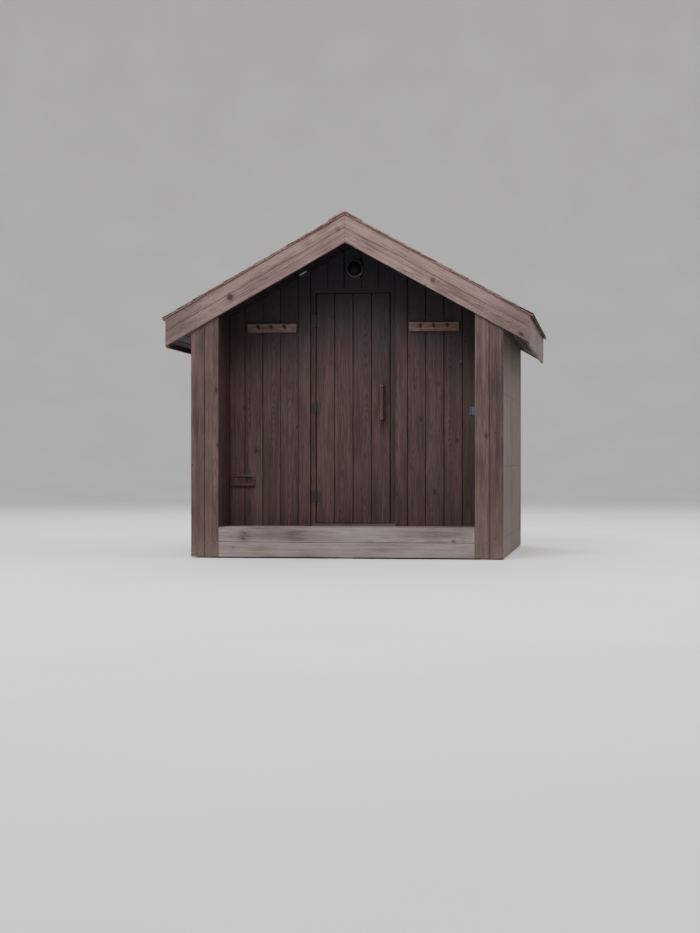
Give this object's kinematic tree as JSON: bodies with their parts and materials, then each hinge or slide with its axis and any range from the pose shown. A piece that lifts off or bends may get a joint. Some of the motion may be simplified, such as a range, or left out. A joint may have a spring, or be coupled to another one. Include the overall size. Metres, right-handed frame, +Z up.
{
  "type": "sauna cabin",
  "caption": "Small gabled timber sauna cabin with dark vertical boards, a shallow open porch with coat pegs, and a boarded door that swings outwards.",
  "frame": {"origin": "on the ground, below the middle of the whole cabin, roof included", "axes": "+X to the right seen from the porch, +Y to the back of the cabin, +Z up"},
  "size_m": [2.89, 2.68, 2.6778],
  "materials": {
    "stained_boards": "dark brown stain",
    "rough_timber": "sawn, weathered",
    "room_lining": "planed, bare",
    "deck_boards": "weathered, worn stain",
    "bare_wood": "oiled",
    "roofing": "granular brown shingle",
    "lamp_housing": "matte",
    "lamp_glass": "frosted",
    "switch_grey": "matte blue-grey",
    "steel": "dark, slightly worn"
  },
  "bodies": {
    "cabin": {"floor_bearers": "rough_timber", "floor_frame": "rough_timber", "cabin_floor": "room_lining", "porch_floor": "deck_boards", "front_beams": "stained_boards", "left_side_wall": "room_lining", "right_side_wall": "room_lining", "rear_wall": "room_lining", "porch_wall_left": "room_lining", "porch_wall_right": "room_lining", "porch_wall_head": "room_lining", "side_cladding": "stained_boards", "rear_cladding": "stained_boards", "porch_cladding": "stained_boards", "porch_side_lining": "stained_boards", "wing_boards": "stained_boards", "door_casings": "stained_boards", "door_jambs": "stained_boards", "door_head": "stained_boards", "door_threshold": "stained_boards", "roof_panel_left": "rough_timber", "roof_panel_right": "rough_timber", "porch_ceiling": "stained_boards", "room_ceiling": "room_lining", "roofing_left": "roofing", "roofing_right": "roofing", "ridge_cap": "roofing", "front_lower_bargeboards": "stained_boards", "front_upper_bargeboards": "stained_boards", "rear_lower_bargeboards": "stained_boards", "rear_upper_bargeboards": "stained_boards", "eave_fascias": "stained_boards", "eave_soffits": "stained_boards", "peg_rails": "bare_wood", "coat_pegs": "bare_wood", "lamp_base": "lamp_housing", "lamp_globe": "lamp_glass", "ceiling_light": "lamp_housing", "switch_box": "switch_grey", "air_vent": "stained_boards", "coat_hook": "steel", "frame_hinges": "steel"},
    "door": {"door_leaf": "stained_boards", "door_battens": "room_lining", "door_handles": "bare_wood", "door_hinges": "steel"}
  },
  "joints": [
    {"name": "door_swing", "type": "hinge", "parent": "cabin", "child": "door", "pos_m": [-0.2975, -0.888, 0.265], "axis": [0, 0, -1], "range_deg": [0, 100]}
  ]
}
